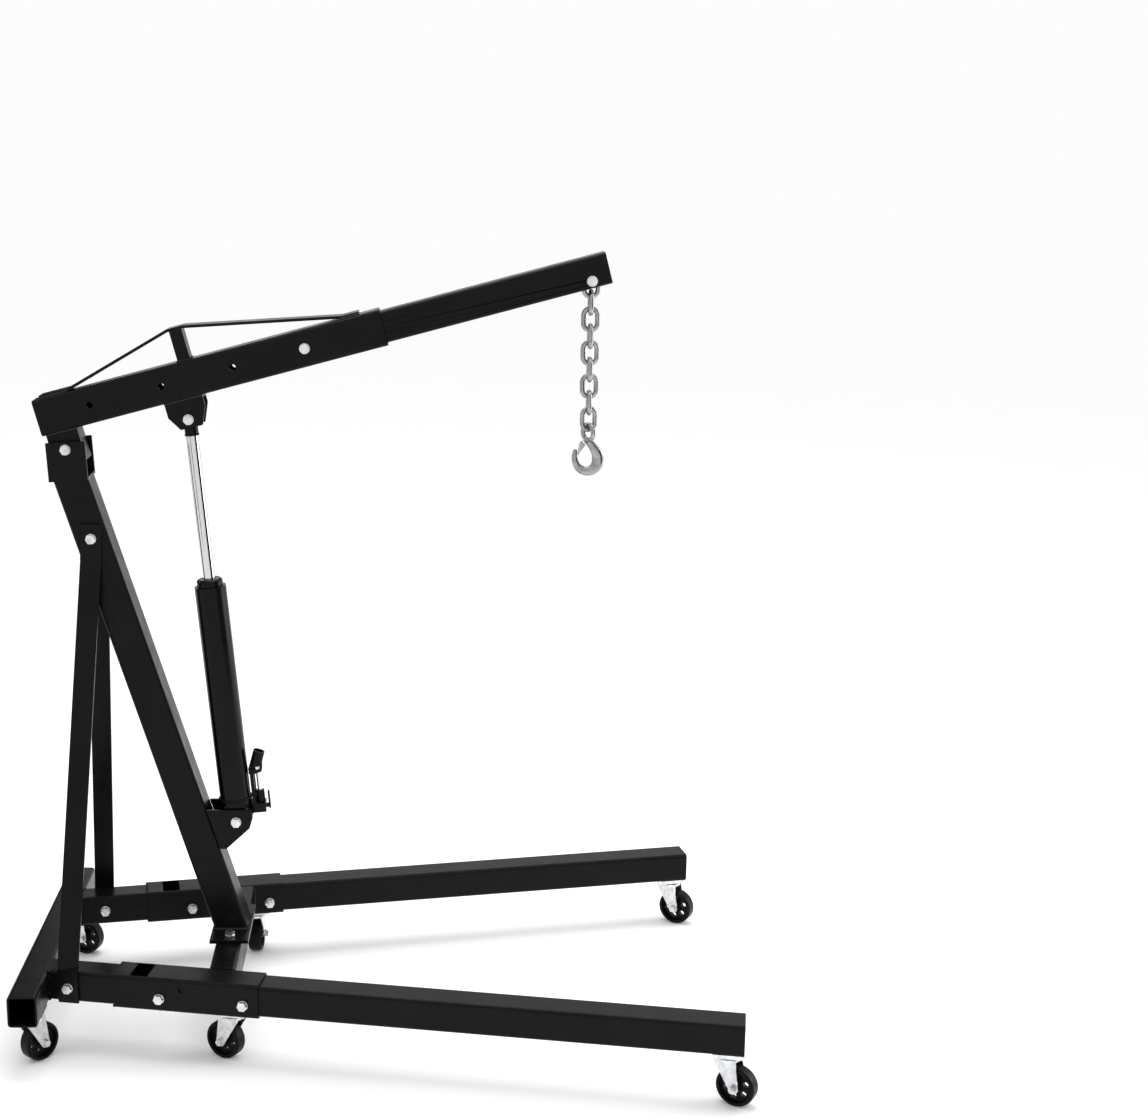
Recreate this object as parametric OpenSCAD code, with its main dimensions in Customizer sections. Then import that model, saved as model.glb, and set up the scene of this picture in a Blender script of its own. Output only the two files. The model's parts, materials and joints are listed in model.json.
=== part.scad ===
// Hydraulic shop crane: splayed base on six swivel casters, inclined mast, trussed telescopic boom,
// long hydraulic ram with hand pump, chain and safety hook.
// +X points forward along the legs, +Z up, the floor is z = 0, left is +Y.

/* [Base frame] */
// Splay of each side frame from the centre plane, degrees
splay = 10.3; // [8:0.1:12]
// Distance from the centre plane to a side frame at the rear tube
rear_spread = 177.5; // [160:0.5:200]
// Length of the rear cross tube
rear_len = 672; // [600:1:760]
// Width of the rear cross tube, along X
rear_w = 60; // [50:1:70]
// Height of the rear cross tube and of the side rails
rail_h = 66; // [60:1:70]
// Width of a side rail
rail_w = 60; // [48:1:64]
// Wall of the rails and cross tubes
frame_wall = 4; // [3:0.5:5]
// Distance along a side frame to the rear end of the leg sleeve
sleeve_start = 176; // [160:1:190]
// Length of a leg sleeve
sleeve_len = 306; // [290:1:370]
// Wall of a leg sleeve
sleeve_wall = 3; // [3:0.5:5]
// Length of the opening in the top of a sleeve
window_len = 37; // [25:1:45]
// Width of the middle cross tube, along X
middle_w = 56; // [50:1:70]
// Distance from the rear tube to the middle cross tube
middle_x = 388; // [380:1:400]

/* [Legs] */
// Height and width of the square leg tube
leg_h = 65; // [55:1:75]
// Wall of the leg tube
leg_wall = 4; // [3:0.5:6]
// Distance along a side frame to the front end of a leg
leg_front = 1451; // [1200:1:1800]
// Length of leg that sits in the sleeve
leg_insert = 226; // [180:1:228]
// Sliding clearance between a tube and the sleeve round it, each side
slide_gap = 0.5; // [0.3:0.1:0.8]

/* [Casters] */
// Radius of a caster wheel
wheel_r = 40; // [36:1:44]
// Width of a caster wheel
wheel_w = 30; // [24:1:32]
// Floor to the underside of the leg sleeves
caster_h = 108; // [106:1:130]
// Horizontal distance from the swivel axis to the wheel axle
trail = 20; // [18:1:28]
// Thickness of a fork plate
fork_t = 3; // [2:0.5:4]
// Radius of a caster axle
axle_r = 4; // [4:0.5:5]
// Radius of a swivel king pin
king_r = 6; // [5:0.5:8]

/* [Mast] */
// Backward lean of the mast, degrees
mast_lean = 17.2; // [12:0.1:19]
// Depth of the mast tube, square to its axis
mast_d = 70; // [60:1:76]
// Width of the mast tube, along Y
mast_w = 75; // [72:1:84]
// Wall of the mast tube
mast_wall = 4; // [3:0.5:6]
// Height of the boom pivot above the floor
pivot_z = 1232; // [1100:1:1500]
// Thickness of the head bracket and of the ram brackets
bracket_t = 6; // [5:0.5:8]

/* [Boom] */
// Rise of the boom above the horizontal at rest, degrees
boom_angle = 14.7; // [10:0.1:20]
// Length of the outer boom tube
boom_len = 726; // [700:1:800]
// Height of the outer boom tube
boom_h = 75; // [70:1:85]
// Width of the outer boom tube
boom_w = 60; // [56:1:70]
// Wall of the outer boom tube
boom_wall = 5; // [4:0.5:6]
// Height of the boom's centre line above its pivot
boom_rise = 73; // [70:1:85]
// Distance from the boom pivot to the front of the extension
tip_x = 1150; // [1050:1:1300]
// Spacing of the lock holes
hole_pitch = 150; // [120:1:155]
// Width of the truss strap
strap_w = 46; // [30:1:56]
// Thickness of the truss strap
strap_t = 6; // [4:0.5:10]
// Height of the king post above the boom
king_post_h = 63; // [50:1:90]

/* [Ram] */
// Outer radius of the ram barrel
barrel_r = 33; // [28:1:33]
// Wall of the ram barrel
barrel_wall = 6; // [5:0.5:8]
// Length of the ram barrel
barrel_len = 475; // [440:1:490]
// Radius of the piston rod
rod_r = 12.5; // [10:0.5:16]

/* [Chain and hook] */
// Radius of the chain wire
wire_r = 5; // [4:0.5:5]
// Inside length of a chain link
link_pitch = 34; // [32:1:36]
// Inside width of a chain link
link_inside = 18; // [17:1:19]
// Thickness of the hook plate
hook_t = 16; // [12:1:18]

/* [Hidden] */
$fn = 64;

black = [0.08, 0.08, 0.085];
zinc = [0.75, 0.76, 0.78];
chrome = [0.85, 0.86, 0.88];
rubber = [0.05, 0.05, 0.055];

run_gap = 0.06;        // radial clearance of a pin or shaft that turns in its hole
bolt_gap = 0.4;        // radial clearance of a bolt in a drilled hole
plate_gap = 0.5;       // clearance between faces that move past each other
corner_r = 7;          // outer corner radius of the square tubes
over = 400;            // overrun of cutting blocks

// Base frame
sleeve_h = leg_h + 2 * (sleeve_wall + slide_gap);
side_z = caster_h + sleeve_h / 2;
sleeve_end = sleeve_start + sleeve_len;
rail_into_sleeve = 20;
window_start = sleeve_start + 34;
leg_start = sleeve_end - leg_insert;
leg_bolt_s = [leg_start + 18, sleeve_end - 32];
spare_hole_s = leg_bolt_s[0] + 46;
spare_hole_up = 15;
leg_bolt_down = 7;
leg_bolt_r = 6;
leg_bolt_af = 18;
base_length = leg_front * cos(splay) + wheel_r;
rear_x = -base_length / 2 + 20;      // centre line of the rear tube in the object's frame

// Casters: [which side frame or rear, distance, sideways, direction that the wheel trails in]
plate_t = 4;
plate_l = 62;
plate_w = 58;
rear_caster_y = rear_len / 2 - 71;
front_caster_s = leg_front - 31;
middle_caster_s = 419;
race_r = 22;
race_t = 4;
crown_t = 5;
crown_r = 26;
crown_half = 23;
king_head_r = 10;
axle_nut_af = 13;

// Mast
foot_plate_t = 8;
foot_plate_x = 82;
foot_plate_y = 190;
foot_bolt_y = 68;
foot_z = side_z + sleeve_h / 2 + foot_plate_t;
foot_x = middle_x + 1;
pivot_x = foot_x - (pivot_z - foot_z) * tan(mast_lean) + 13.5;
head_half = 40;
head_down = 65;
head_up = 15;
head_tilt = -3;
pivot_r = 6;
pivot_af = 18;

// Braces
brace_w = 43;
brace_t = 6;
brace_foot_s = 79;
brace_top_x = pivot_x + 44;
brace_top_z = pivot_z - 184;
brace_bolt_r = 6;

// Boom
boom_rear = -41;
boom_front = boom_rear + boom_len;
strap_ends = [boom_rear + 16, boom_front - 41];
strap_bends = [36, boom_front - 75];
boom_bottom = boom_rise - boom_h / 2;
boom_top = boom_rise + boom_h / 2;
first_hole = 71;
lock_x = first_hole + 3 * hole_pitch;
lock_r = 6;
lock_af = 18;
ext_h = boom_h - 2 * (boom_wall + slide_gap);
ext_w = boom_w - 2 * (boom_wall + slide_gap);
ext_wall = 5;
ext_rear = lock_x - 41;
tip_bolt_x = tip_x - 39;
tip_bolt_z = boom_rise - 17.2;
tip_bolt_r = 6;
lug_half = 32.5;
lug_down = 32;
king_post_x = 266;
king_post_w = 26;

// Ram, on its own axis from the lower pin to the upper pin
ram_lug_x = 255;
ram_lug_z = boom_bottom - 41.5;
ram_pin_r = 6;
ram_foot_x = 405;
ram_foot_z = 432;
ram_top_x = pivot_x + ram_lug_x * cos(boom_angle) - ram_lug_z * sin(boom_angle);
ram_top_z = pivot_z + ram_lug_x * sin(boom_angle) + ram_lug_z * cos(boom_angle);
ram_len = norm([ram_top_x - ram_foot_x, ram_top_z - ram_foot_z]);
ram_tilt = atan2(ram_top_x - ram_foot_x, ram_top_z - ram_foot_z);
base_block_top = 34;
barrel_top = base_block_top + barrel_len;
gland_depth = 28;
gland_up = 12;
piston_t = 24;
piston_z = ram_len - 512;
ram_cheek_in = 31.5;
ram_foot_half = 30;
ram_lug_half = 26;
eye_r = 17;
eye_w = 38;

// Pump, in the ram's frame
pump_x = 54;
fulcrum_x = 41;
fulcrum_z = 100;
crank = 14.34;
crank_rest = 25;
pump_pin_r = 3;
plunger_pin_x = fulcrum_x + crank * cos(crank_rest);
plunger_pin_z = fulcrum_z + crank * sin(crank_rest);
plunger_r = 5;
socket_bore_r = 10.2;
socket_r = 12.5;
socket_lean = 20;
socket_len = 36;
socket_x = 8;
socket_z = 8;
slot_top = 14;

// Chain and hook
link_gap = 0.3;
bend_r = link_inside / 2 + wire_r;
link_straight = link_pitch - link_inside;
tip_pin_x = pivot_x + tip_bolt_x * cos(boom_angle) - tip_bolt_z * sin(boom_angle);
tip_pin_z = pivot_z + tip_bolt_x * sin(boom_angle) + tip_bolt_z * cos(boom_angle);
link_step = link_pitch - link_gap;
link_top_z = tip_pin_z + tip_bolt_r + link_gap - link_pitch / 2;
link_turn = [0, 90, 0, 90, 0, 90, 0, 90, 20];
eye_ring_r = 16;
eye_turn = -55;
eye_z = link_z(9) - link_pitch / 2 + link_gap + wire_r - eye_ring_r;
bowl_drop = 57;
bowl_r = 33;
throat_r = 14;
latch_pin = [-9, 36];
latch_pin_r = 2.5;

function link_z(n) = link_top_z - (n - 1) * link_step;
function reversed(list) = [for (i = [len(list) - 1 : -1 : 0]) list[i]];
// Outline of a w x h rectangle about the origin with corners rounded to r
function rounded(w, h, r) = [
    for (q = [0 : 3], a = [0 : 30 : 90])
        let (sx = (q == 0 || q == 3) ? 1 : -1, sy = q < 2 ? 1 : -1)
            [sx * (w / 2 - r) + r * cos(q * 90 + a), sy * (h / 2 - r) + r * sin(q * 90 + a)]
];

// ---- shared shapes ----

module tube_outline(w, h, wall) {
    difference() {
        polygon(rounded(w, h, corner_r));
        polygon(rounded(w - 2 * wall, h - 2 * wall, max(corner_r - wall, 1)));
    }
}

// Square tube along +X from the origin, w along Y and h along Z
module tube_x(length, w, h, wall) {
    rotate([90, 0, 90]) linear_extrude(length) tube_outline(w, h, wall);
}

// Drill along Y through the origin
module hole_y(r, length) {
    rotate([90, 0, 0]) cylinder(r = r, h = length, center = true);
}

// Hexagon across flats af, thickness t, standing on z = 0
module hexagon(af, t) {
    cylinder(r = af / sqrt(3), h = t, $fn = 6);
}

// Bolt head with its washer, under a face at z = 0, outwards along +Z
module bolt_head(r, af) {
    cylinder(r = af * 0.6, h = 2);
    translate([0, 0, 2]) hexagon(af, r * 1.3);
}

// Nut and washer with the thread end standing out of it
module bolt_nut(r, af) {
    cylinder(r = af * 0.6, h = 2);
    translate([0, 0, 2]) hexagon(af, r * 1.6);
    translate([0, 0, 2 + r * 1.6]) cylinder(r = r, h = r * 0.6);
}

// Whole bolt along Y through the origin, gripping the width grip; the head is on the -Y side
module bolt_y(r, af, grip) {
    rotate([90, 0, 0]) {
        cylinder(r = r, h = grip, center = true);
        translate([0, 0, grip / 2]) bolt_head(r, af);
        rotate([180, 0, 0]) translate([0, 0, grip / 2]) bolt_nut(r, af);
    }
}

// The two ends of a bolt along Y: stubs that fill the outer walls, with head and nut
module bolt_ends_y(r, af, grip, stub) {
    rotate([90, 0, 0]) {
        translate([0, 0, grip / 2 - stub]) cylinder(r = r, h = stub);
        translate([0, 0, grip / 2]) bolt_head(r, af);
        rotate([180, 0, 0]) {
            translate([0, 0, grip / 2 - stub]) cylinder(r = r, h = stub);
            translate([0, 0, grip / 2]) bolt_nut(r, af);
        }
    }
}

// ---- frames that the parts are built in ----

module on_frame() {
    translate([rear_x, 0, 0]) children();
}

// Side frame: X runs along the splayed side, Y outwards, for side = 1 (left) or -1 (right)
module on_side(side) {
    on_frame() mirror([0, side < 0 ? 1 : 0, 0])
        translate([0, rear_spread, 0]) rotate([0, 0, splay]) children();
}

module on_mast() {
    on_frame() translate([foot_x, 0, foot_z]) rotate([0, -mast_lean, 0]) children();
}

module on_head() {
    on_frame() translate([pivot_x, 0, pivot_z]) rotate([0, head_tilt, 0]) children();
}

module on_boom() {
    on_frame() translate([pivot_x, 0, pivot_z]) rotate([0, -boom_angle, 0]) children();
}

module on_ram() {
    on_frame() translate([ram_foot_x, 0, ram_foot_z]) rotate([0, ram_tilt, 0]) children();
}

// Hanging chain: origin under the tip bolt at the floor
module on_chain() {
    on_frame() translate([tip_pin_x, 0, 0]) children();
}

// ---- base frame ----

module rear_cross_tube() {
    color(black) on_frame() translate([0, -rear_len / 2, side_z]) rotate([-90, 0, 0])
        linear_extrude(rear_len) tube_outline(rear_w, rail_h, frame_wall);
}

module side_rail(side) {
    color(black) difference() {
        on_side(side) translate([-over / 4, 0, side_z])
            tube_x(sleeve_start + rail_into_sleeve + over / 4, rail_w, rail_h, frame_wall);
        on_frame() translate([rear_w / 2 - over, -over, 0]) cube([over, 2 * over, over]);
        on_side(side) translate([brace_foot_s, 0, side_z]) hole_y(brace_bolt_r + bolt_gap, over);
    }
}

module sleeve_holes() {
    for (s = leg_bolt_s) translate([s, 0, side_z - leg_bolt_down])
        hole_y(leg_bolt_r + bolt_gap, over);
}

module leg_sleeve(side) {
    color(black) on_side(side) difference() {
        translate([sleeve_start, 0, side_z]) tube_x(sleeve_len, sleeve_h, sleeve_h, sleeve_wall);
        translate([window_start, -leg_h / 2 + 4, side_z + 10]) cube([window_len, leg_h - 8, sleeve_h]);
        sleeve_holes();
        translate([spare_hole_s, 0, side_z + spare_hole_up]) hole_y(leg_bolt_r, over);
    }
}

module middle_cross_tube() {
    color(black) difference() {
        on_frame() translate([middle_x, -over, side_z]) rotate([-90, 0, 0])
            linear_extrude(2 * over) tube_outline(middle_w, sleeve_h, frame_wall);
        for (side = [-1, 1]) on_side(side)
            translate([0, -sleeve_h / 2, 0]) cube([2 * over, over, over]);
        for (side = [-1, 1]) on_frame() translate([foot_x, side * foot_bolt_y, side_z])
            cylinder(r = leg_bolt_r + bolt_gap, h = over);
    }
}

// ---- casters ----

// Top plate of a caster with its fixed race and king pin; t fills up to the tube above
module caster_plate(t) {
    translate([0, 0, caster_h - plate_t + t / 2]) cube([plate_l, plate_w, t], center = true);
    translate([0, 0, caster_h - plate_t - race_t]) cylinder(r = race_r, h = race_t);
    translate([0, 0, caster_h - plate_t - race_t - crown_t - 2 * plate_gap - 5]) {
        cylinder(r = king_head_r, h = 5);
        cylinder(r = king_r, h = race_t + crown_t + 2 * plate_gap + 5);
    }
}

crown_top = caster_h - plate_t - race_t - plate_gap;
crown_bottom = crown_top - crown_t;
fork_in = wheel_w / 2 + 2;

// Tangent point on a circle about c of radius r, seen from p, on the side s
function tangent(p, c, r, s) =
    let (d = norm(c - p), a = atan2(c[1] - p[1], c[0] - p[0]), b = acos(r / d))
        c + r * [cos(a + 180 + s * b), sin(a + 180 + s * b)];

// Fork with its axle bolt; the swivel axis is Z and the wheel trails along +X
module caster_fork_shape() {
    difference() {
        union() {
            translate([0, 0, crown_bottom]) cylinder(r = crown_r, h = crown_t);
            for (side = [-1, 1]) translate([0, side * (fork_in + fork_t / 2), 0])
                rotate([90, 0, 0]) linear_extrude(fork_t, center = true) fork_side();
            translate([-crown_half, -fork_in - fork_t, crown_bottom])
                cube([2 * crown_half, 2 * (fork_in + fork_t), crown_t]);
        }
        translate([0, 0, crown_bottom - 1]) cylinder(r = king_r + run_gap, h = crown_t + 2);
        translate([trail, 0, wheel_r]) hole_y(axle_r + 0.1, over);
    }
    translate([trail, 0, wheel_r]) bolt_y(axle_r, axle_nut_af, 2 * (fork_in + fork_t));
}

module fork_side() {
    low_r = 10;
    axle = [trail, wheel_r];
    rear_top = [-crown_half, crown_top];
    front_top = [crown_half, crown_top];
    polygon([rear_top, rear_top - [0, crown_t + 2],
             tangent(rear_top - [0, crown_t + 2], axle, low_r, 1), axle,
             tangent(front_top - [0, crown_t + 2], axle, low_r, -1),
             front_top - [0, crown_t + 2], front_top]);
    translate(axle) circle(r = low_r);
}

module caster_wheel_shape() {
    web_half = wheel_w / 2 - 9;
    hub_r = 12;
    translate([trail, 0, wheel_r]) rotate([90, 0, 0]) difference() {
        rotate_extrude() polygon([
            [axle_r + run_gap, -wheel_w / 2 + 1], [hub_r, -wheel_w / 2 + 1], [hub_r, -web_half],
            [wheel_r - 9, -web_half], [wheel_r - 8, -wheel_w / 2 + 1], [wheel_r - 3, -wheel_w / 2],
            [wheel_r, -wheel_w / 2 + 4], [wheel_r, wheel_w / 2 - 4], [wheel_r - 3, wheel_w / 2],
            [wheel_r - 8, wheel_w / 2 - 1], [wheel_r - 9, web_half], [hub_r, web_half],
            [hub_r, wheel_w / 2 - 1], [axle_r + run_gap, wheel_w / 2 - 1]
        ]);
        for (i = [0 : 5]) rotate([0, 0, i * 60 + 20]) translate([(hub_r + wheel_r - 9) / 2, 0, 0])
            cylinder(r = 6, h = wheel_w, center = true);
    }
}

// Places its children at a swivel axis, turned so that the wheel trails in the direction `way`
module at_front_caster(side, way) {
    on_side(side) translate([front_caster_s, 0, 0]) rotate([0, 0, side * way - splay]) children();
}

module at_middle_caster(side, way) {
    on_side(side) translate([middle_caster_s, 0, 0]) rotate([0, 0, side * way - splay]) children();
}

module at_rear_caster(side, way) {
    on_frame() translate([0, side * rear_caster_y, 0]) rotate([0, 0, way]) children();
}

front_way = [-32, -32];    // left, right
middle_way = [86, 150];
rear_way = [-20, 50];

module base_caster_plates() {
    color(zinc) for (side = [-1, 1]) {
        on_side(side) translate([middle_caster_s, 0, 0]) caster_plate(plate_t);
        on_frame() translate([0, side * rear_caster_y, 0]) rotate([0, 0, 90])
            caster_plate(plate_t + side_z - rail_h / 2 - caster_h);
    }
}

// ---- legs ----

module front_leg(side) {
    color(black) on_side(side) difference() {
        translate([leg_start, 0, side_z]) tube_x(leg_front - leg_start, leg_h, leg_h, leg_wall);
        sleeve_holes();
    }
}

// Middle lengths of the leg bolts, and the front caster's plate
module leg_hardware(side) {
    color(zinc) on_side(side) {
        for (s = leg_bolt_s) translate([s, 0, side_z - leg_bolt_down]) hole_y(leg_bolt_r, leg_h);
        translate([front_caster_s, 0, 0])
            caster_plate(plate_t + side_z - leg_h / 2 - caster_h);
    }
}

module leg_bolt_ends() {
    color(zinc) for (side = [-1, 1], s = leg_bolt_s)
        on_side(side) translate([s, 0, side_z - leg_bolt_down]) rotate([0, 0, 180])
            bolt_ends_y(leg_bolt_r, leg_bolt_af, sleeve_h, sleeve_wall);
}

// ---- mast ----

module mast_tube() {
    color(black) difference() {
        on_mast() translate([0, 0, -50]) linear_extrude(pivot_z)
            tube_outline(mast_d, mast_w, mast_wall);
        on_frame() translate([foot_x - over, -over, foot_z - over]) cube([2 * over, 2 * over, over]);
        on_head() translate([-over, -over, -head_down]) cube([2 * over, 2 * over, over]);
        on_frame() translate([brace_top_x, 0, brace_top_z]) hole_y(pivot_r + bolt_gap, over);
    }
}

module mast_foot_plate() {
    color(black) on_frame() difference() {
        translate([foot_x, 0, foot_z - foot_plate_t / 2])
            cube([foot_plate_x, foot_plate_y, foot_plate_t], center = true);
        for (side = [-1, 1]) translate([foot_x, side * foot_bolt_y, foot_z - over / 2])
            cylinder(r = leg_bolt_r + bolt_gap, h = over);
    }
}

module mast_head_bracket() {
    out = mast_w / 2 + bracket_t;
    color(black) on_head() difference() {
        translate([-head_half, -out, -head_down])
            cube([2 * head_half, 2 * out, head_down + head_up]);
        translate([-over, -mast_w / 2, -head_down + bracket_t]) cube([2 * over, mast_w, over]);
        hole_y(pivot_r + run_gap, over);
    }
}

module boom_pivot_bolt() {
    color(zinc) on_head() bolt_y(pivot_r, pivot_af, mast_w + 2 * bracket_t);
}

// Cheeks that carry the ram's foot, welded to the front of the mast
module ram_lower_bracket() {
    color(black) difference() {
        on_frame() for (side = [-1, 1]) translate([0, side * (ram_cheek_in + bracket_t / 2), 0])
            rotate([90, 0, 0]) linear_extrude(bracket_t, center = true) polygon([
                [ram_foot_x - 110, ram_foot_z + 26], [ram_foot_x + 33, ram_foot_z + 26],
                [ram_foot_x + 35, ram_foot_z + 8], [ram_foot_x + 28, ram_foot_z - 15],
                [ram_foot_x - 22, ram_foot_z - 61], [ram_foot_x - 110, ram_foot_z - 61]
            ]);
        on_mast() translate([mast_d / 2 - over, -over, -over / 2]) cube([over, 2 * over, 2 * over]);
        on_frame() translate([ram_foot_x, 0, ram_foot_z]) hole_y(ram_pin_r + run_gap, over);
    }
}

module ram_lower_bolt() {
    color(zinc) on_frame() translate([ram_foot_x, 0, ram_foot_z])
        bolt_y(ram_pin_r, pivot_af, 2 * (ram_cheek_in + bracket_t));
}

// Strut from the outside of a side rail up to the side of the mast
module brace(side) {
    foot = [brace_foot_s * cos(splay) - rail_w / 2 * sin(splay),
            rear_spread + brace_foot_s * sin(splay) + (rail_w / 2 + brace_t / 2) * cos(splay)];
    low = [foot[0], foot[1], side_z + rail_h / 2 + 6];
    high = [brace_top_x - 2, mast_w / 2 + brace_t / 2, brace_top_z - 42];
    run = high - low;
    lean = atan2(run[0], run[2]);
    tilt = asin(run[1] / norm(run));
    color(black) difference() {
        union() {
            on_side(side) translate([brace_foot_s - brace_w / 2, rail_w / 2, side_z - rail_h / 2])
                cube([brace_w, brace_t, rail_h + 10]);
            on_frame() mirror([0, side < 0 ? 1 : 0, 0]) {
                translate(low) rotate([0, lean, 0]) rotate([-tilt, 0, 0])
                    translate([-brace_w / 2, -brace_t / 2, 0]) cube([brace_w, brace_t, norm(run)]);
                translate([brace_top_x, mast_w / 2, brace_top_z]) rotate([0, lean, 0])
                    translate([-brace_w / 2, 0, -46]) cube([brace_w, brace_t, 76]);
            }
        }
        on_mast() translate([-over / 2, -mast_w / 2, 0]) cube([over, mast_w, 4 * over]);
        on_side(side) translate([brace_foot_s, 0, side_z]) hole_y(brace_bolt_r + bolt_gap, over);
        on_frame() translate([brace_top_x, 0, brace_top_z]) hole_y(pivot_r + bolt_gap, over);
    }
}

// Bolts of the braces and of the mast foot
module frame_bolts() {
    color(zinc) {
        on_frame() translate([brace_top_x, 0, brace_top_z])
            bolt_y(pivot_r, pivot_af, mast_w + 2 * brace_t);
        for (side = [-1, 1]) {
            on_side(side) translate([brace_foot_s, brace_t / 2, side_z]) rotate([0, 0, 180])
                bolt_y(brace_bolt_r, leg_bolt_af, rail_w + brace_t);
            on_frame() translate([foot_x, side * foot_bolt_y, foot_z]) {
                bolt_head(leg_bolt_r, leg_bolt_af);
                translate([0, 0, -foot_plate_t - frame_wall]) cylinder(r = leg_bolt_r,
                    h = foot_plate_t + frame_wall);
                translate([0, 0, -foot_plate_t - frame_wall]) rotate([180, 0, 0])
                    bolt_nut(leg_bolt_r, leg_bolt_af);
            }
        }
    }
}

// ---- boom ----

module boom_tube() {
    color(black) on_boom() difference() {
        translate([boom_rear, 0, boom_rise]) tube_x(boom_len, boom_w, boom_h, boom_wall);
        for (i = [0 : 3]) translate([first_hole + i * hole_pitch, 0, boom_rise])
            hole_y(lock_r + bolt_gap, over);
    }
}

// Channel under the boom that turns on the pivot bolt
module boom_pivot_lug() {
    boss = mast_w / 2 - plate_gap;
    color(black) on_boom() difference() {
        union() {
            translate([-lug_half, -boom_w / 2, -lug_down])
                cube([2 * lug_half, boom_w, lug_down + boom_bottom]);
            rotate([90, 0, 0]) cylinder(r = 16, h = 2 * boss, center = true);
        }
        translate([-lug_half - 1, -boom_w / 2 + bracket_t, -over])
            cube([2 * lug_half + 1 - 4, boom_w - 2 * bracket_t, over + boom_bottom - bracket_t]);
        hole_y(pivot_r + run_gap, over);
    }
}

// Bent strap over the boom, and the king post under its peak
module boom_truss() {
    peak = boom_top + king_post_h;
    low = [[strap_ends[0], boom_top], [strap_bends[0], boom_top], [king_post_x - 3, peak],
           [king_post_x + king_post_w + 3, peak], [strap_bends[1], boom_top],
           [strap_ends[1], boom_top]];
    high = [for (p = low) p + [0, strap_t]];
    color(black) on_boom() {
        rotate([90, 0, 0]) linear_extrude(strap_w, center = true)
            polygon(concat(low, reversed(high)));
        translate([king_post_x, -strap_w / 2 + 2, boom_top])
            cube([king_post_w, strap_w - 4, king_post_h]);
    }
}

module ram_upper_bracket() {
    color(black) on_boom() difference() {
        rotate([90, 0, 0]) linear_extrude(2 * ram_lug_half, center = true) polygon([
            [ram_lug_x - 39, boom_bottom], [ram_lug_x - 39, ram_lug_z + 12],
            [ram_lug_x - 21, ram_lug_z - 17], [ram_lug_x + 25, ram_lug_z - 18],
            [ram_lug_x + 41, ram_lug_z + 20], [ram_lug_x + 41, boom_bottom]
        ]);
        translate([0, -ram_lug_half + bracket_t, -over])
            cube([over, 2 * (ram_lug_half - bracket_t), over + boom_bottom - bracket_t]);
        translate([ram_lug_x, 0, ram_lug_z]) hole_y(ram_pin_r + bolt_gap, over);
    }
}

// Ends of the ram's upper bolt and of the lock bolt, held in the outer walls
module boom_bolt_ends() {
    color(zinc) on_boom() {
        translate([ram_lug_x, 0, ram_lug_z]) bolt_ends_y(ram_pin_r, pivot_af, 2 * ram_lug_half,
            bracket_t);
        translate([lock_x, 0, boom_rise]) bolt_ends_y(lock_r, lock_af, boom_w, boom_wall);
    }
}

module boom_extension() {
    color(black) on_boom() difference() {
        translate([ext_rear, 0, boom_rise]) tube_x(tip_x - ext_rear, ext_w, ext_h, ext_wall);
        translate([lock_x, 0, boom_rise]) hole_y(lock_r + bolt_gap, over);
        translate([tip_bolt_x, 0, tip_bolt_z]) hole_y(tip_bolt_r + bolt_gap, over);
        translate([tip_bolt_x - 36, -ext_w / 2 + 9, boom_rise - ext_h])
            cube([over, ext_w - 18, ext_h / 2 + ext_wall + 1]);
    }
}

// Middle of the lock bolt, and the bolt that the chain hangs on
module extension_bolts() {
    color(zinc) on_boom() {
        translate([lock_x, 0, boom_rise]) hole_y(lock_r, ext_w);
        translate([tip_bolt_x, 0, tip_bolt_z]) bolt_y(tip_bolt_r, lock_af, ext_w);
    }
}

// ---- ram and pump ----

module ram_barrel() {
    color(black) on_ram() difference() {
        union() {
            translate([0, 0, base_block_top]) cylinder(r = barrel_r, h = barrel_len);
            translate([0, 0, base_block_top - 3]) cylinder(r = barrel_r + 1.5, h = 12);
            translate([-22, -ram_foot_half, 0]) cube([44, 2 * ram_foot_half, base_block_top]);
            rotate([90, 0, 0]) cylinder(r = 22, h = 2 * ram_foot_half, center = true);
        }
        translate([0, 0, base_block_top + 12])
            cylinder(r = barrel_r - barrel_wall, h = barrel_len);
        hole_y(ram_pin_r + run_gap, over);
    }
}

module ram_gland() {
    bore = barrel_r - barrel_wall;
    color(black) on_ram() difference() {
        union() {
            translate([0, 0, barrel_top - gland_depth]) cylinder(r = bore, h = gland_depth + gland_up);
            translate([0, 0, barrel_top + gland_up]) cylinder(r1 = bore, r2 = bore - 4, h = 4);
        }
        translate([0, 0, barrel_top - gland_depth - 1])
            cylinder(r = rod_r + run_gap, h = gland_depth + gland_up + 6);
    }
}

module ram_rod() {
    color(chrome) on_ram() {
        translate([0, 0, piston_z]) cylinder(r = barrel_r - barrel_wall - run_gap, h = piston_t);
        translate([0, 0, piston_z + piston_t])
            cylinder(r = rod_r, h = ram_len - 34 - piston_z - piston_t);
    }
}

// Forged eye on the end of the rod, with the middle length of its bolt
module rod_eye() {
    color(black) on_ram() translate([0, 0, ram_len]) {
        difference() {
            union() {
                rotate([90, 0, 0]) cylinder(r = eye_r, h = eye_w, center = true);
                translate([0, 0, -34]) cylinder(r = rod_r + 1.5, h = 26);
            }
            hole_y(ram_pin_r, over);
        }
        hole_y(ram_pin_r, eye_w + 1);
    }
}

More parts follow.
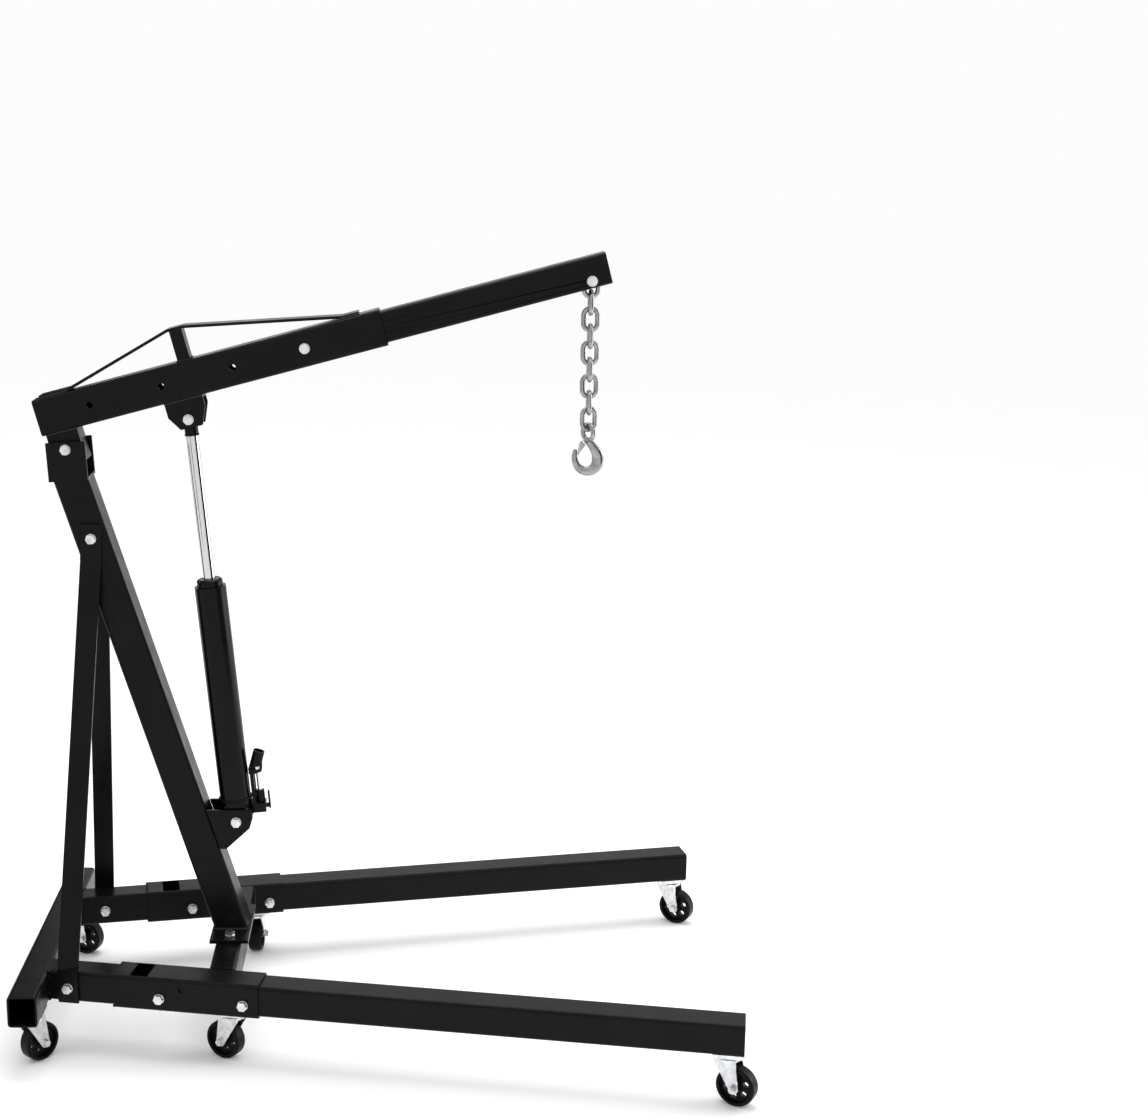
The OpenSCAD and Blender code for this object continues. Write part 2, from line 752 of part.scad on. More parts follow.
// Pump block at the foot of the barrel, plunger housing, fulcrum plates and their pin
module pump_body() {
    block_low = 9;
    block_high = 29;
    plate_out = 14;
    color(black) on_ram() difference() {
        union() {
            translate([20, -16, block_low]) cube([44, 32, block_high - block_low]);
            translate([pump_x, 0, block_high]) cylinder(r = 9, h = 26);
            for (side = [-1, 1]) translate([fulcrum_x - 4, side * (plate_out - 1.5) - 1.5, block_high])
                cube([8, 3, fulcrum_z - block_high + 5]);
            translate([fulcrum_x, 0, fulcrum_z]) hole_y(pump_pin_r, 2 * plate_out);
        }
        cylinder(r = barrel_r + 1.6, h = over);
        translate([-over, -over, -over]) cube([over + 22, 2 * over, 2 * over]);
        translate([pump_x, 0, block_low + 6]) cylinder(r = plunger_r + run_gap, h = over);
        rotate([90, 0, 0]) cylinder(r = 22.5, h = over, center = true);
    }
}

module pump_plunger() {
    color(chrome) on_ram() {
        translate([pump_x, 0, 32]) cylinder(r = plunger_r, h = plunger_pin_z - 5 - 32);
        translate([pump_x - 4, -4, plunger_pin_z - 6]) cube([8, 8, 11]);
        translate([plunger_pin_x, 0, plunger_pin_z]) hole_y(pump_pin_r, 20);
    }
}

// Knuckle that turns on the fulcrum pin, with the socket that takes the pump bar
module handle_socket() {
    color(black) on_ram() translate([fulcrum_x, 0, fulcrum_z]) difference() {
        union() {
            for (side = [-1, 1]) translate([0, side * 7.6, 0]) rotate([90, 0, 0])
                linear_extrude(4, center = true)
                    polygon([[-6, -5], [-3, -7], [6, -7], [22, -2], [24, 14], [10, 22], [-6, 8]]);
            translate([socket_x, 0, socket_z]) rotate([0, socket_lean, 0])
                cylinder(r = socket_r, h = socket_len);
        }
        hole_y(pump_pin_r + run_gap, over);
        translate([plunger_pin_x - fulcrum_x, 0, plunger_pin_z - fulcrum_z]) {
            for (dx = [-3, 0, 3]) translate([dx, 0, 0]) hole_y(pump_pin_r + 1, over);
        }
        translate([socket_x, 0, socket_z]) rotate([0, socket_lean, 0]) translate([0, 0, 12])
            cylinder(r = socket_bore_r, h = socket_len);
        translate([-over / 2, -5.6, -over + slot_top]) cube([over, 11.2, over]);
    }
}

// Release valve: screw in the front of the pump block with a flat lever
module release_valve() {
    color(black) on_ram() translate([64 + plate_gap, 0, 19]) {
        rotate([0, 90, 0]) cylinder(r = 5, h = 7);
        translate([5, -5, -6]) cube([4, 10, 38]);
    }
}

// ---- chain and hook ----

module link_shape() {
    for (s = [-1, 1]) {
        translate([s * bend_r, 0, 0]) cylinder(r = wire_r, h = link_straight, center = true);
        translate([0, 0, s * link_straight / 2]) rotate([s * 90, 0, 0]) rotate_extrude(angle = 180)
            translate([bend_r, 0]) circle(r = wire_r);
    }
}

module chain_link(n) {
    color(zinc) on_chain() translate([0, 0, link_z(n)]) rotate([0, 0, link_turn[n - 1]]) link_shape();
}

module on_hook() {
    on_chain() translate([0, 0, eye_z - bowl_drop]) children();
}

module hook() {
    color(zinc) {
        on_chain() translate([0, 0, eye_z]) rotate([0, 0, eye_turn]) rotate([90, 0, 0])
            rotate_extrude() translate([eye_ring_r, 0]) circle(r = wire_r);
        on_hook() difference() {
            rotate([90, 0, 0]) linear_extrude(hook_t, center = true) difference() {
                union() {
                    circle(r = bowl_r);
                    polygon([[-11, 30], [-13, 41], [-6, 46], [7, 45], [17, 36], [30, 19],
                             [bowl_r, 0], [0, 0]]);
                }
                translate([-6, 1]) circle(r = throat_r);
                polygon([[-20, 1], [-24.5, 24], [-25, 40], [-14, 40], [-11, 28], [7, 3], [-6, -4]]);
                translate([-35, 24]) square([14, 30]);
            }
            translate([latch_pin[0], 0, latch_pin[1]]) hole_y(latch_pin_r, over);
        }
        on_hook() translate([latch_pin[0], 0, latch_pin[1]]) hole_y(latch_pin_r, hook_t + 8);
    }
}

// Sprung latch: two ears on the pin and a tongue that closes the throat against the point
module hook_latch() {
    ear_t = 1.6;
    ear_out = hook_t / 2 + 0.4 + ear_t;
    tongue = [[-14.6, 36], [-16.6, 35.5], [-21.2, 12], [-19.2, 11.6]];
    color(zinc) on_hook() difference() {
        union() {
            for (side = [-1, 1]) translate([0, side * (ear_out - ear_t / 2), 0]) rotate([90, 0, 0])
                linear_extrude(ear_t, center = true) {
                    translate(latch_pin) circle(r = 3.5);
                    polygon([latch_pin + [3, -4], latch_pin + [-3, 2], [-16.6, 35.5], [-19.8, 19],
                             [-16.5, 19]]);
                }
            rotate([90, 0, 0]) linear_extrude(2 * ear_out, center = true) polygon(tongue);
        }
        translate([latch_pin[0], 0, latch_pin[1]]) hole_y(latch_pin_r + run_gap, over);
    }
}

rear_cross_tube();
side_rail(1);  // side_rail_left
side_rail(-1);  // side_rail_right
leg_sleeve(1);  // leg_sleeve_left
leg_sleeve(-1);  // leg_sleeve_right
middle_cross_tube();
base_caster_plates();
mast_tube();
mast_foot_plate();
mast_head_bracket();
ram_lower_bracket();
brace(1);  // brace_left
brace(-1);  // brace_right
frame_bolts();
leg_bolt_ends();
boom_pivot_bolt();
ram_lower_bolt();
front_leg(1);  // front_leg_left
front_leg(-1);  // front_leg_right
leg_hardware(1);  // leg_hardware_left
leg_hardware(-1);  // leg_hardware_right
boom_tube();
boom_pivot_lug();
boom_truss();
ram_upper_bracket();
boom_bolt_ends();
boom_extension();
extension_bolts();
ram_barrel();
ram_gland();
pump_body();
ram_rod();
rod_eye();
pump_plunger();
handle_socket();
release_valve();
for (n = [1 : 9]) chain_link(n);
hook();
hook_latch();
for (i = [0, 1]) {
    side = 1 - 2 * i;
    end = i == 0 ? "_left" : "_right";
    color(zinc) at_front_caster(side, front_way[i]) caster_fork_shape();
    color(rubber) at_front_caster(side, front_way[i]) caster_wheel_shape();
    color(zinc) at_middle_caster(side, middle_way[i]) caster_fork_shape();
    color(rubber) at_middle_caster(side, middle_way[i]) caster_wheel_shape();
    color(zinc) at_rear_caster(side, rear_way[i]) caster_fork_shape();
    color(rubber) at_rear_caster(side, rear_way[i]) caster_wheel_shape();
}
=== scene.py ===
"""Looks of the hydraulic shop crane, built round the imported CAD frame. Metres, +X forward, floor at z = 0."""
import json
import math
import random

import bmesh
import bpy
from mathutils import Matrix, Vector


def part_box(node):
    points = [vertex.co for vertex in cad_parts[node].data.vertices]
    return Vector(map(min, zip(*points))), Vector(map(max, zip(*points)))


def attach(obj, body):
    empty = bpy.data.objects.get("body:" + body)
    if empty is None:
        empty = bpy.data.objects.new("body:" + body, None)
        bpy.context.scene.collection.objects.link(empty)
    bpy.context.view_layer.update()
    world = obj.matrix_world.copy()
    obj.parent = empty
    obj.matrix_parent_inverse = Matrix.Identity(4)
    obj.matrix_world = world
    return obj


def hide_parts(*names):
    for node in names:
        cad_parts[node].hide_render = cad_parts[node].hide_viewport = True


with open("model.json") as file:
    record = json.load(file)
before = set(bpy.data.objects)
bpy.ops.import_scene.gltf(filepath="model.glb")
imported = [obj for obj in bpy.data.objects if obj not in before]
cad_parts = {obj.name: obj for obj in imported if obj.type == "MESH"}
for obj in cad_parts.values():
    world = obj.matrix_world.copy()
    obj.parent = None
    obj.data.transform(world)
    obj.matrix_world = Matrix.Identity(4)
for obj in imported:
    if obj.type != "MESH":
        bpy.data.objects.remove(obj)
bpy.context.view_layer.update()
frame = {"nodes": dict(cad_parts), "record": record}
NODES = frame["nodes"]
JOINTS = {j["name"]: j for j in frame["record"]["behaviour"]["joints"]}
random.seed(7)
rear_low, rear_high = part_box("rear_cross_tube")
# X of the rear cross tube's middle
REAR_AXIS = (rear_low[0] + rear_high[0]) / 2

# ---------------------------------------------------------------- node materials


class Graph:
    """A material's node tree, with short calls for the nodes used here."""

    def __init__(self, name):
        self.material = bpy.data.materials.new(name)
        self.material.use_nodes = True
        self.tree = self.material.node_tree
        self.shader = self.tree.nodes["Principled BSDF"]
        self.coords = self.tree.nodes.new("ShaderNodeTexCoord").outputs["Object"]

    def link(self, source, target):
        self.tree.links.new(source, target)

    def noise(self, scale, detail=4.0, stretch=(1, 1, 1), roughness=0.55):
        mapping = self.tree.nodes.new("ShaderNodeMapping")
        mapping.inputs["Scale"].default_value = stretch
        self.link(self.coords, mapping.inputs["Vector"])
        node = self.tree.nodes.new("ShaderNodeTexNoise")
        node.inputs["Scale"].default_value = scale
        node.inputs["Detail"].default_value = detail
        node.inputs["Roughness"].default_value = roughness
        self.link(mapping.outputs["Vector"], node.inputs["Vector"])
        return node.outputs["Fac"]

    def ramp(self, value, low, high, start=0.0, end=1.0):
        node = self.tree.nodes.new("ShaderNodeMapRange")
        node.inputs["From Min"].default_value = low
        node.inputs["From Max"].default_value = high
        node.inputs["To Min"].default_value = start
        node.inputs["To Max"].default_value = end
        self.link(value, node.inputs["Value"])
        return node.outputs["Result"]

    def colours(self, value, stops):
        node = self.tree.nodes.new("ShaderNodeValToRGB")
        ramp = node.color_ramp
        while len(ramp.elements) < len(stops):
            ramp.elements.new(0.5)
        for element, (place, colour) in zip(ramp.elements, stops):
            element.position = place
            element.color = (*colour, 1)
        self.link(value, node.inputs["Fac"])
        return node.outputs["Color"]

    def mix(self, factor, a, b):
        node = self.tree.nodes.new("ShaderNodeMix")
        node.data_type = "RGBA"
        for value, socket in ((factor, node.inputs["Factor"]), (a, node.inputs["A"]), (b, node.inputs["B"])):
            if isinstance(value, tuple):
                socket.default_value = (*value, 1)
            elif isinstance(value, (int, float)):
                socket.default_value = value
            else:
                self.link(value, socket)
        return node.outputs["Result"]

    def bump(self, height, strength, distance, under=None):
        node = self.tree.nodes.new("ShaderNodeBump")
        node.inputs["Strength"].default_value = strength
        node.inputs["Distance"].default_value = distance
        self.link(height, node.inputs["Height"])
        if under is not None:
            self.link(under, node.inputs["Normal"])
        self.link(node.outputs["Normal"], self.shader.inputs["Normal"])
        return node.outputs["Normal"]

    def wire(self, colour=None, rough=None):
        if colour is not None:
            self.link(colour, self.shader.inputs["Base Color"])
        if rough is not None:
            self.link(rough, self.shader.inputs["Roughness"])

    def set(self, **values):
        for name, value in values.items():
            self.shader.inputs[name.replace("_", " ")].default_value = value


def powder_coat(name, dark, light, rough, specular, peel=0.12):
    """Black powder coat: faint orange peel, uneven sheen, dust that has settled in patches, small scuffs."""
    g = Graph(name)
    patches = g.noise(9, 5)
    dust = g.noise(55, 6, roughness=0.7)
    scuffs = g.noise(38, 8, stretch=(1, 3.5, 3.5), roughness=0.75)
    paint = g.colours(patches, [(0.35, dark), (0.7, light)])
    worn = g.mix(g.ramp(scuffs, 0.68, 0.78, 0, 0.3), paint, (0.03, 0.03, 0.031))
    g.wire(colour=g.mix(g.ramp(dust, 0.6, 0.8, 0, 0.07), worn, (0.08, 0.078, 0.074)),
           rough=g.ramp(g.noise(22, 6, roughness=0.65), 0.3, 0.7, rough - 0.06, rough + 0.09))
    g.set(Specular_IOR_Level=specular)
    fine = g.bump(g.noise(900, 3), peel, 0.0004)
    g.bump(g.noise(60, 4), 0.08, 0.001, fine)
    return g.material


def plated(name, dark, light, rough, streak=(1, 1, 1), bump=0.15):
    """Bright zinc or polished steel: metal with cloudy tone, fine scratches and uneven polish."""
    g = Graph(name)
    clouds = g.noise(70, 5)
    spots = g.noise(420, 4, roughness=0.8)
    metal = g.colours(clouds, [(0.3, dark), (0.7, light)])
    g.wire(colour=g.mix(g.ramp(spots, 0.62, 0.8, 0, 0.45), metal, tuple(0.45 * c for c in dark)),
           rough=g.ramp(g.noise(130, 6, streak, 0.7), 0.3, 0.7, rough - 0.08, rough + 0.12))
    g.set(Metallic=1.0)
    g.bump(g.noise(700, 4, streak), bump, 0.0003)
    return g.material


def hard_chrome(name):
    """Ground and chromed rod: mirror bright, with fine marks along its length."""
    g = Graph(name)
    marks = g.noise(240, 4, stretch=(6, 6, 0.05), roughness=0.7)
    g.wire(colour=g.colours(marks, [(0.3, (0.50, 0.51, 0.53)), (0.7, (0.80, 0.81, 0.82))]),
           rough=g.ramp(marks, 0.3, 0.7, 0.04, 0.12))
    g.set(Metallic=1.0)
    g.bump(marks, 0.05, 0.0002)
    return g.material


def moulded(name, dark, light, rough):
    """Moulded black wheel: satin polymer with a scuffed, dusty surface."""
    g = Graph(name)
    g.wire(colour=g.mix(g.ramp(g.noise(160, 7, roughness=0.75), 0.62, 0.8, 0, 0.15),
                        g.colours(g.noise(30, 5), [(0.3, dark), (0.7, light)]), (0.05, 0.049, 0.047)),
           rough=g.ramp(g.noise(90, 5), 0.3, 0.7, rough - 0.07, rough + 0.12))
    g.set(Specular_IOR_Level=0.1)
    g.bump(g.noise(520, 5), 0.25, 0.0005)
    return g.material


def floor_finish(name):
    """Pale, barely mottled floor."""
    g = Graph(name)
    g.wire(colour=g.colours(g.noise(3, 3), [(0.0, (0.985, 0.985, 0.985)), (1.0, (1.0, 1.0, 1.0))]),
           rough=g.ramp(g.noise(12, 3), 0.3, 0.7, 0.85, 0.95))
    g.set(Specular_IOR_Level=0.0)
    return g.material


def black_finish(name):
    """Dull black for the cards that only reflections see."""
    g = Graph(name)
    g.set(Base_Color=(0.01, 0.01, 0.01, 1), Roughness=0.9, Specular_IOR_Level=0.0)
    return g.material


PAINT = powder_coat("frame_paint", (0.0028, 0.0028, 0.0032), (0.0046, 0.0046, 0.005), 0.29, 0.11)
ENAMEL = powder_coat("ram_paint", (0.0018, 0.0018, 0.0022), (0.003, 0.003, 0.0034), 0.17, 0.12, peel=0.05)
ZINC = plated("zinc", (0.50, 0.51, 0.53), (0.80, 0.81, 0.82), 0.26)
CHAIN_STEEL = plated("chain_steel", (0.24, 0.245, 0.25), (0.42, 0.425, 0.43), 0.24, bump=0.22)
CHROME = hard_chrome("chrome")
WHEEL = moulded("wheel", (0.0022, 0.0022, 0.0026), (0.004, 0.004, 0.0044), 0.36)
WELD = powder_coat("weld_paint", (0.004, 0.004, 0.0045), (0.007, 0.007, 0.0075), 0.28, 0.25)
FINISH = {"frame_paint": PAINT, "ram_paint": ENAMEL, "zinc": ZINC, "chain_steel": CHAIN_STEEL,
          "chrome": CHROME, "wheel": WHEEL}

# ---------------------------------------------------------------- CAD nodes


def finish_node(node, material, edge=0.0008):
    """Gives a CAD node its material and breaks its sharp edges."""
    obj = NODES[node]
    obj.data.materials.clear()
    obj.data.materials.append(material)
    weld = obj.modifiers.new("join_seams", "WELD")
    weld.merge_threshold = 1e-6
    bevel = obj.modifiers.new("broken_edges", "BEVEL")
    bevel.width = edge
    bevel.segments = 2
    bevel.limit_method = "ANGLE"
    bevel.angle_limit = math.radians(35)
    normals = obj.modifiers.new("flat_faces", "WEIGHTED_NORMAL")
    normals.weight = 80
    normals.keep_sharp = True


for part in frame["record"]["subparts"]:
    finish_node(part["node"], FINISH[part["material_slot"]])

# ---------------------------------------------------------------- pieces made here


def add_piece(name, mesh_data, material, body):
    """Makes a smooth-shaded piece from a bmesh and fixes it to a CAD body."""
    mesh = bpy.data.meshes.new(name)
    bmesh.ops.recalc_face_normals(mesh_data, faces=mesh_data.faces)
    mesh_data.to_mesh(mesh)
    mesh_data.free()
    for polygon in mesh.polygons:
        polygon.use_smooth = True
    mesh.materials.append(material)
    piece = bpy.data.objects.new(name, mesh)
    bpy.context.scene.collection.objects.link(piece)
    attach(piece, body)
    return piece


def turns(count):
    """Angles spread evenly round a circle."""
    return [2 * math.pi * k / count for k in range(count)]


def skin_rings(mesh_data, rings, closed=False):
    """Joins rings of points into a tube; an open tube gets flat end caps."""
    rows = [[mesh_data.verts.new(point) for point in ring] for ring in rings]
    count = len(rows[0])
    pairs = list(zip(rows, rows[1:] + rows[:1])) if closed else list(zip(rows, rows[1:]))
    for a, b in pairs:
        for i in range(count):
            j = (i + 1) % count
            mesh_data.faces.new((a[i], a[j], b[j], b[i]))
    if not closed:
        mesh_data.faces.new(rows[0])
        mesh_data.faces.new(rows[-1])


def sweep(mesh_data, path, size, sides=16, closed=False, up=Vector((0, 1, 0))):
    """Runs an oval section along a path. size(i) gives its half sizes in the path's plane and along up."""
    rings = []
    last = len(path) - 1
    for i, point in enumerate(path):
        before = path[i - 1] if i > 0 or closed else path[0]
        after = path[(i + 1) % len(path)] if i < last or closed else path[last]
        along = (after - before).normalized()
        side = along.cross(up).normalized()
        lift = side.cross(along).normalized()
        a, b = size(i)
        rings.append([point + side * a * math.cos(t) + lift * b * math.sin(t) for t in turns(sides)])
    skin_rings(mesh_data, rings, closed)


def smooth_path(points, steps):
    """Catmull-Rom curve through the points, with any extra numbers on them carried along."""
    rows = [points[0]] + list(points) + [points[-1]]
    out = []
    for p0, p1, p2, p3 in zip(rows, rows[1:], rows[2:], rows[3:]):
        for k in range(steps):
            t = k / steps
            out.append([0.5 * (2 * b + (c - a) * t + (2 * a - 5 * b + 4 * c - d) * t * t
                               + (3 * b - a - 3 * c + d) * t ** 3) for a, b, c, d in zip(p0, p1, p2, p3)])
    out.append(list(points[-1]))
    return out


def forged_hook():
    """Round forged hook in place of the CAD's plate hook: eye, shank, deep bowl and a drawn-out point."""
    low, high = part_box("hook")
    centre_x = (low[0] + high[0]) / 2
    bowl_rise = 0.033
    bowl_z = low[2] + bowl_rise
    # across, up from the bowl's centre, half depth in the plane, half thickness across the plane
    line = [(-0.5, 43, 7.5, 7.0), (3, 36.5, 8.0, 7.4), (9.5, 28, 9.0, 7.8), (16.5, 17.5, 10.8, 8.0),
            (20.6, 5, 12.2, 8.2), (19.2, -9, 12.2, 8.2), (11.5, -18.8, 11.0, 8.2), (0.5, -22.6, 10.3, 8.0),
            (-11.5, -20.6, 9.3, 7.6), (-21.4, -12.6, 7.9, 7.0), (-26.0, -1, 6.8, 6.2),
            (-27.2, 9.5, 5.6, 5.4), (-26.2, 18, 4.2, 4.2), (-25.4, 22.6, 2.4, 2.4)]
    rows = smooth_path(line, 6)
    path = [Vector((centre_x + x / 1000, 0, bowl_z + z / 1000)) for x, z, _, _ in rows]
    mesh_data = bmesh.new()
    sweep(mesh_data, path, lambda i: (rows[i][2] / 1000, rows[i][3] / 1000), 24)
    eye_radius = 0.016
    wire = 0.0052
    turn = math.radians(-55)
    overlap = 0.0002
    eye_z = high[2] - eye_radius - wire + overlap
    ring = [Vector((centre_x + eye_radius * math.cos(t) * math.cos(turn),
                    eye_radius * math.cos(t) * math.sin(turn), eye_z + eye_radius * math.sin(t)))
            for t in turns(48)]
    sweep(mesh_data, ring, lambda i: (wire, wire), 20, closed=True,
          up=Vector((-math.sin(turn), math.cos(turn), 0)))
    return add_piece("hook_forging", mesh_data, CHAIN_STEEL, "hook_body")


hook_piece = forged_hook()
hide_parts("hook")


class Place:
    """A local frame of the crane: called with millimetres along, across and up, it gives metres."""

    def __init__(self, origin, along, across, up):
        self.origin = Vector(origin)
        self.axes = [Vector(v).normalized() for v in (along, across, up)]

    def __call__(self, x, y, z):
        return self.origin + sum((a * v / 1000 for a, v in zip(self.axes, (x, y, z))), Vector())


def tilted_place(joint, along):
    """Frame at a joint's pivot, with its X along the given direction in the XZ plane."""
    x = Vector(along).normalized()
    return Place(JOINTS[joint]["pos_m"], x, (0, 1, 0), x.cross(Vector((0, 1, 0))))


on_boom = tilted_place("boom_lift", JOINTS["extension_slide"]["axis"])
ram_up = Vector(JOINTS["ram_extend"]["axis"]).normalized()
on_ram = Place(JOINTS["ram_swing"]["pos_m"], Vector((0, 1, 0)).cross(ram_up), (0, 1, 0), ram_up)


def on_side(side):
    """Frame of a side: X along the leg from over the rear tube, Y outwards, Z up from the floor."""
    name = "left" if side > 0 else "right"
    along = Vector(JOINTS["leg_slide_" + name]["axis"])
    swivel = Vector(JOINTS["swivel_middle_" + name]["pos_m"])
    start = swivel - along * (swivel.x - REAR_AXIS) / along.x
    outwards = Vector((-along.y, along.x, 0)) * side
    return Place((start.x, start.y, 0), along, outwards, (0, 0, 1))


def resampled(corners, step, closed):
    """Points about step apart along straight runs between corners."""
    loop = list(corners) + ([corners[0]] if closed else [])
    out = []
    for a, b in zip(loop, loop[1:]):
        count = max(2, round((b - a).length / step))
        out += [a.lerp(b, k / count) for k in range(count)]
    return out if closed else out + [loop[-1]]


# Path points in each ripple of a weld.
RIPPLE = 3.0


def weld_bead(name, corners, body, size=3.6, closed=False):
    """Rippled, painted weld bead along a line of corners, half sunk into the corner that it fills."""
    step = 0.0011
    path = resampled(corners, step, closed)
    run = (path[1] - path[0]).normalized()
    up = Vector((0, 1, 0)) if abs(run.y) < 0.5 else Vector((0, 0, 1))
    wobble = [random.uniform(-0.05, 0.05) for _ in path]

    def section(i):
        swell = size / 1000 * (1 + 0.13 * math.sin(2 * math.pi * i / RIPPLE) + wobble[i])
        return swell, swell

    mesh_data = bmesh.new()
    sweep(mesh_data, path, section, 8, closed, up)
    return add_piece(name, mesh_data, WELD, body)


def ring_bead(name, place, radius, height, body, size=3.0):
    """Enamelled weld bead round a shaft whose axis is the frame's Z."""
    mesh_data = bmesh.new()
    path = [place(radius * math.cos(t), radius * math.sin(t), height) for t in turns(150)]

    def section(i):
        swell = (size + 0.4 * math.sin(2 * math.pi * i / RIPPLE)) / 1000
        return swell, swell

    sweep(mesh_data, path, section, 8, closed=True, up=place.axes[2])
    return add_piece(name, mesh_data, ENAMEL, body)


def rectangle(place, x0, x1, y0, y1, z):
    """Corners of a level rectangle in a local frame."""
    return [place(x0, y0, z), place(x1, y0, z), place(x1, y1, z), place(x0, y1, z)]


def upright(place, x, y0, y1, z0, z1):
    """Corners of a rectangle that stands across a local frame."""
    return [place(x, y0, z0), place(x, y1, z0), place(x, y1, z1), place(x, y0, z1)]


def slice_box(node, low, high):
    """Extent in X and Y, in millimetres, of a node's points between two heights in metres."""
    points = [v.co for v in NODES[node].data.vertices if low <= v.co.z <= high]
    return [1000 * f(p[i] for p in points) for i in (0, 1) for f in (min, max)]


ORIGIN = Place((0, 0, 0), (1, 0, 0), (0, 1, 0), (0, 0, 1))
# Start of the leg sleeve along the leg, and height of the rod eye's collar up the ram, in millimetres.
SLEEVE_START = 176
ROD_COLLAR = 828


def frame_welds():
    """Beads on the base: round the mast's foot, the side rails' ends, the leg sleeves and the middle cross
    tube.
    """
    plate_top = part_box("mast_foot_plate")[1][2]
    x0, x1, y0, y1 = slice_box("mast_tube", plate_top - 0.001, plate_top + 0.002)
    weld_bead("weld_mast_foot", rectangle(ORIGIN, x0, x1, y0, y1, plate_top * 1000), "base", closed=True)
    for side, name in ((1, "left"), (-1, "right")):
        place = on_side(side)
        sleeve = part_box("leg_sleeve_" + name)
        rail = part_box("side_rail_" + name)
        low, high = rail[0][2] * 1000, rail[1][2] * 1000
        half = 30
        inset = 3
        front = (rear_high[0] - REAR_AXIS) * 1000
        start = front / place.axes[0].x
        corners = [place(start + y * -place.axes[1].x / place.axes[0].x + 0.5, y, z)
                   for y, z in ((-half, low + inset), (half, low + inset),
                                (half, high - inset), (-half, high - inset))]
        weld_bead("weld_rail_" + name, corners, "base", closed=True)
        weld_bead("weld_sleeve_" + name, upright(place, SLEEVE_START, -half, half, low, high), "base",
                  closed=True)
        inner = -(sleeve[1][2] - sleeve[0][2]) * 500
        corner_gap = 6
        middle_low, middle_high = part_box("middle_cross_tube")
        for end, x in (("rear", middle_low[0]), ("front", middle_high[0])):
            s = ((x - place(0, inner, 0).x) * 1000) / place.axes[0].x
            bottom = middle_low[2] * 1000 + corner_gap
            top = middle_high[2] * 1000 - corner_gap
            weld_bead("weld_middle_%s_%s" % (end, name), [place(s, inner, bottom), place(s, inner, top)],
                      "base")


def boom_welds():
    """Beads under the boom lug and ram bracket, and round the truss's feet and king post."""
    # the boom tube's lower and upper faces, up from the pivot
    under = 35.5
    over = 110.5
    for side in (-1, 1):
        name = "left" if side > 0 else "right"
        weld_bead("weld_lug_" + name, [on_boom(-32, side * 30, under), on_boom(32, side * 30, under)],
                  "boom", 3.0)
        weld_bead("weld_ram_bracket_" + name,
                  [on_boom(216, side * 26, under), on_boom(296, side * 26, under)], "boom", 3.2)
        for end, x0, x1 in (("rear", -24, 34), ("front", 606, 643)):
            weld_bead("weld_strap_%s_%s" % (end, name),
                      [on_boom(x0, side * 23, over + 0.5), on_boom(x1, side * 23, over + 0.5)], "boom", 3.2)
    weld_bead("weld_king_post", rectangle(on_boom, 266, 292, -21, 21, over), "boom", 3.0, closed=True)


frame_welds()
boom_welds()
ring_bead("weld_barrel_foot", on_ram, 33.4, 43, "ram")
ring_bead("weld_rod_eye", on_ram, 12.8, ROD_COLLAR, "rod", 2.2)

# ---------------------------------------------------------------- floor, light and camera

# X that the cards stand round, 40 mm behind the ram's foot.
ROD_X = JOINTS["ram_swing"]["pos_m"][0] - 0.04


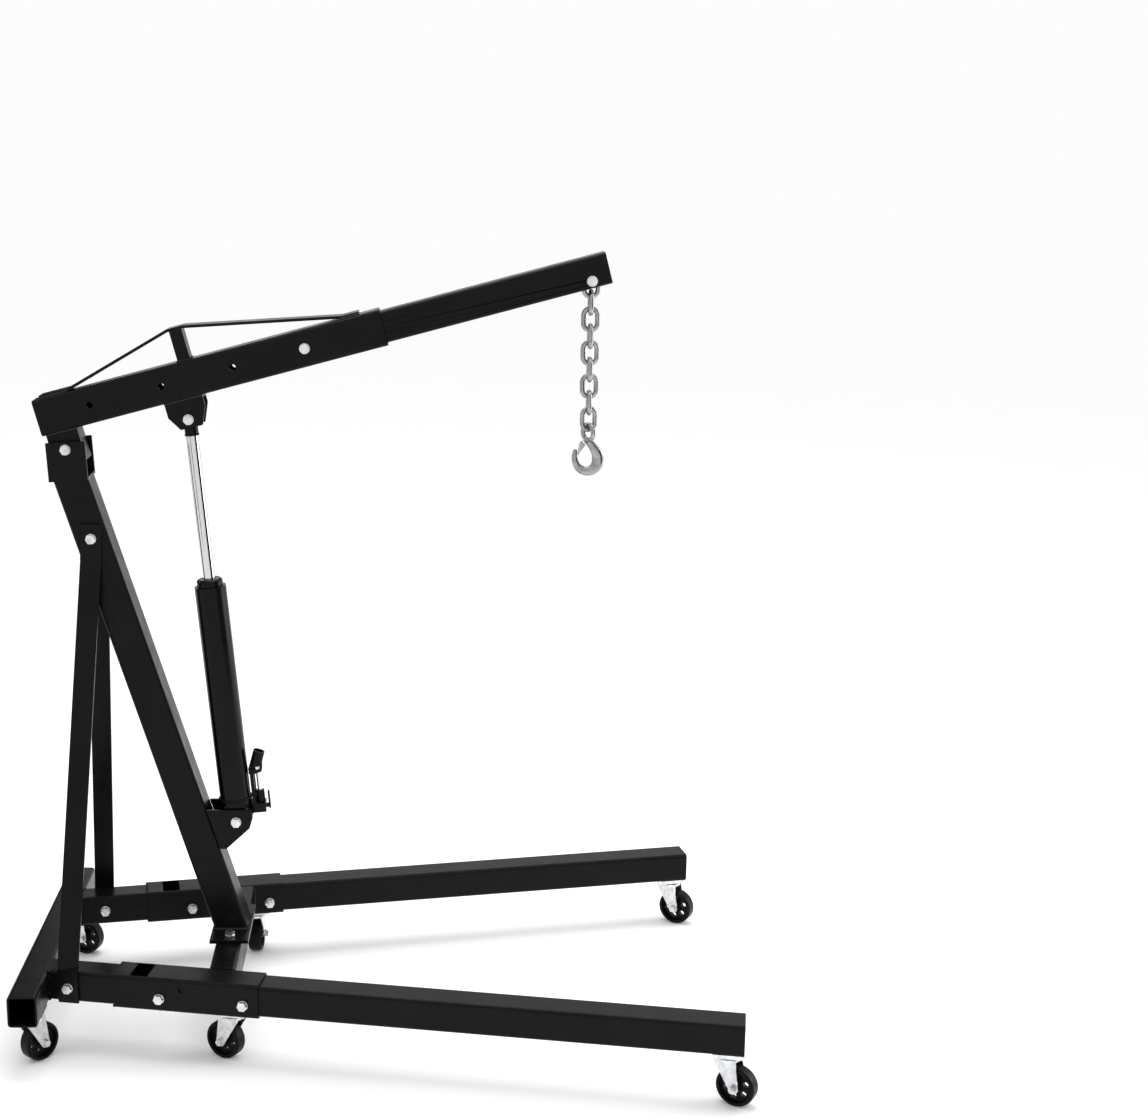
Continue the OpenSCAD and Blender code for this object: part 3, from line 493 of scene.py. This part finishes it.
def studio():
    """Pale floor, a broad light above, one in front of the crane, and black cards that reflections see."""
    mesh = bpy.data.meshes.new("floor")
    reach = 30
    mesh.from_pydata([(-reach, -reach, 0), (reach, -reach, 0), (reach, reach, 0), (-reach, reach, 0)], [],
                     [(0, 1, 2, 3)])
    floor = bpy.data.objects.new("floor", mesh)
    bpy.context.scene.collection.objects.link(floor)
    mesh.materials.append(floor_finish("floor"))

    world = bpy.data.worlds.new("studio")
    bpy.context.scene.world = world
    world.use_nodes = True
    backdrop = world.node_tree.nodes["Background"].inputs
    backdrop["Color"].default_value = (1, 1, 1, 1)
    backdrop["Strength"].default_value = 0.98
    card_finish = black_finish("black_card")

    def area(name, place, aim, width, height, power):
        """Rectangular light at a place, turned to face its aim."""
        light = bpy.data.lights.new(name, "AREA")
        light.shape = "RECTANGLE"
        light.size = width
        light.size_y = height
        light.energy = power
        obj = bpy.data.objects.new(name, light)
        obj.location = place
        obj.rotation_euler = (Vector(aim) - Vector(place)).to_track_quat("-Z", "Y").to_euler()
        bpy.context.scene.collection.objects.link(obj)

    def card(name, bearing, distance, width, low, high):
        """Black card beside the camera, seen only in reflections; bearing is from -Y towards +X."""
        turn = math.radians(bearing)
        centre = Vector((ROD_X + distance * math.sin(turn), -distance * math.cos(turn), 0))
        half = Vector((math.cos(turn), math.sin(turn), 0)) * width / 2
        data = bpy.data.meshes.new(name)
        corners = [centre + half * s + Vector((0, 0, z))
                   for s, z in ((-1, low), (1, low), (1, high), (-1, high))]
        data.from_pydata(corners, [], [(0, 1, 2, 3)])
        data.materials.append(card_finish)
        obj = bpy.data.objects.new(name, data)
        obj.visible_camera = obj.visible_diffuse = obj.visible_transmission = obj.visible_shadow = False
        bpy.context.scene.collection.objects.link(obj)

    card("card_right", 66, 4.0, 3.0, -0.4, 3.4)
    card("card_left", -36, 4.0, 0.7, -0.4, 3.4)
    card("card_far_left", -148, 4.0, 2.2, -0.4, 3.4)
    area("overhead", (0.2, 0.6, 4.2), (0.1, 0.0, 0.0), 2.6, 2.6, 85)
    area("front", (4.2, 0.8, 1.6), (0.0, 0.0, 0.8), 2.2, 3.2, 70)


def photo_camera():
    """The picture's viewpoint: beside the crane on its right, a little above, looking slightly down."""
    data = bpy.data.cameras.new("camera")
    data.sensor_width = 36
    data.lens = 57.23
    data.shift_x = 0.1254
    tilt_down = 12.81
    turn_right = 0.31
    camera = bpy.data.objects.new("camera", data)
    camera.location = (REAR_AXIS + 0.7965, -3.6917, 1.8325)
    camera.rotation_euler = (math.radians(90 - tilt_down), 0, -math.radians(turn_right))
    bpy.context.scene.collection.objects.link(camera)
    bpy.context.scene.camera = camera


studio()
photo_camera()
bpy.context.scene.view_settings.view_transform = "Standard"
